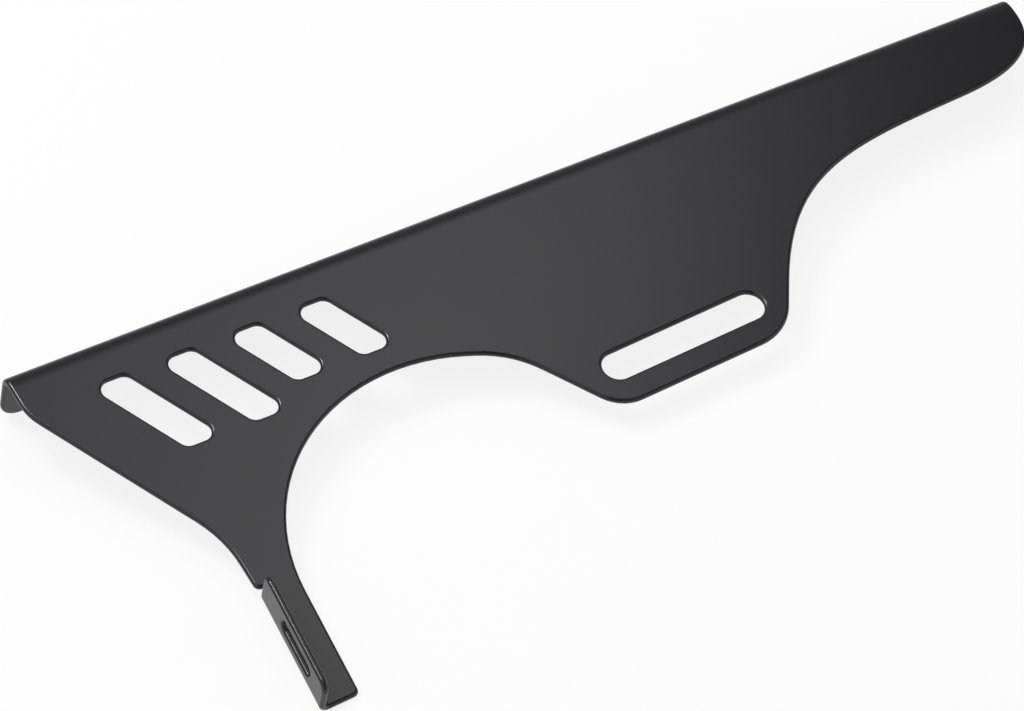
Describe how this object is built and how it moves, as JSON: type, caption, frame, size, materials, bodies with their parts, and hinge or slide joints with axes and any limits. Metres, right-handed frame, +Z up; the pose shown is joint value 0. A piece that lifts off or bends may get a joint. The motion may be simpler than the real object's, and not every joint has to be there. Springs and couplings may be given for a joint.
{
  "type": "motorcycle chain guard",
  "caption": "Folded black sheet guard over a drive chain: web with slanted vents, top flange, arched lower edge, slotted rear lobe and a leg with a slotted tab.",
  "frame": {"origin": "centre of the bounding box in X and Y, on the surface that the guard lies on", "axes": "+X along the top fold from the front end to the tail, +Y across the web towards the fold, +Z up from the surface that the guard lies on"},
  "size_m": [0.4258, 0.173, 0.0243],
  "materials": {
    "powder_coat": "satin black powder coat"
  },
  "bodies": {
    "root": {"guard_plate": "powder_coat"}
  },
  "joints": []
}
